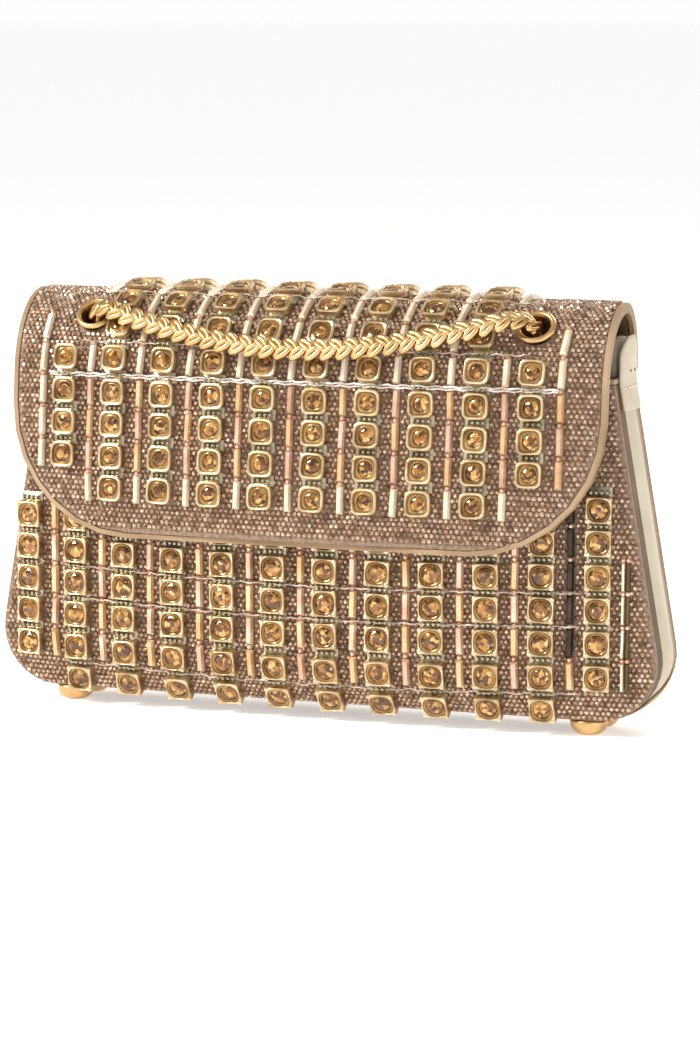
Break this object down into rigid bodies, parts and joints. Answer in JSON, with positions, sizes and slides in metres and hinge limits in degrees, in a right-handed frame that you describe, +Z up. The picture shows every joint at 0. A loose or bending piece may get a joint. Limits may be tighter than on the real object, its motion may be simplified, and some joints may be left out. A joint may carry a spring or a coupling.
{
  "type": "evening bag",
  "caption": "Hard-sided evening clutch covered in square stone settings, with a hinged flap, eyelets, a chain strap, leather gussets and domed feet.",
  "frame": {"origin": "middle of the bag's box in plan, on the surface its feet stand on", "axes": "+X to the bag's right as seen from the front, -Y toward the front, +Z up"},
  "size_m": [0.2398, 0.0614, 0.1481],
  "materials": {
    "stone_settings": "polished settings with honey-coloured stones",
    "rhinestone_cloth": "cloth closely set with small rose-gold rhinestones",
    "cream_leather": "smooth",
    "brown_leather": "satin",
    "tan_leather": "smooth",
    "satin_lining": "satin weave",
    "gold_metal": "polished"
  },
  "bodies": {
    "bag_body": {"anchor_tab_left": "cream_leather", "anchor_tab_right": "cream_leather", "back_panel": "rhinestone_cloth", "back_settings": "stone_settings", "base_panel": "brown_leather", "body_settings_01": "stone_settings", "body_settings_02": "stone_settings", "body_settings_03": "stone_settings", "body_settings_04": "stone_settings", "body_settings_05": "stone_settings", "body_settings_06": "stone_settings", "body_settings_07": "stone_settings", "body_settings_08": "stone_settings", "body_settings_09": "stone_settings", "body_settings_10": "stone_settings", "body_settings_11": "stone_settings", "body_settings_12": "stone_settings", "chain_drop_left": "gold_metal", "chain_drop_right": "gold_metal", "chain_hank_left": "gold_metal", "chain_hank_right": "gold_metal", "chain_return_left": "gold_metal", "chain_return_right": "gold_metal", "foot_back_left": "gold_metal", "foot_back_right": "gold_metal", "foot_front_left": "gold_metal", "foot_front_right": "gold_metal", "front_panel": "rhinestone_cloth", "gusset_left": "cream_leather", "gusset_right": "cream_leather", "lining": "satin_lining", "magnet_socket": "gold_metal", "mouth_binding": "tan_leather", "seam_band_back": "brown_leather", "seam_band_front": "brown_leather", "slip_pocket": "satin_lining"},
    "flap": {"chain_over_flap": "gold_metal", "eyelet_left": "gold_metal", "eyelet_right": "gold_metal", "eyelet_washer_left": "gold_metal", "eyelet_washer_right": "gold_metal", "flap_binding": "tan_leather", "flap_lining": "satin_lining", "flap_settings_01": "stone_settings", "flap_settings_02": "stone_settings", "flap_settings_03": "stone_settings", "flap_settings_04": "stone_settings", "flap_settings_05": "stone_settings", "flap_settings_06": "stone_settings", "flap_settings_07": "stone_settings", "flap_settings_08": "stone_settings", "flap_settings_09": "stone_settings", "flap_settings_10": "stone_settings", "flap_shell": "rhinestone_cloth", "magnet_stud": "gold_metal"},
    "ring_left": {"chain_ring_left": "gold_metal"},
    "ring_right": {"chain_ring_right": "gold_metal"}
  },
  "joints": [
    {"name": "flap_hinge", "type": "hinge", "parent": "bag_body", "child": "flap", "pos_m": [0, 0.02655, 0.1195], "axis": [-1, 0, 0], "range_deg": [0, 110]},
    {"name": "ring_left_swing", "type": "hinge", "parent": "bag_body", "child": "ring_left", "pos_m": [-0.09695, 0.00705, 0.12565], "axis": [0, -1, 0], "range_deg": [0, 60]},
    {"name": "ring_right_swing", "type": "hinge", "parent": "bag_body", "child": "ring_right", "pos_m": [0.09695, 0.00705, 0.12565], "axis": [0, 1, 0], "range_deg": [0, 60]}
  ]
}
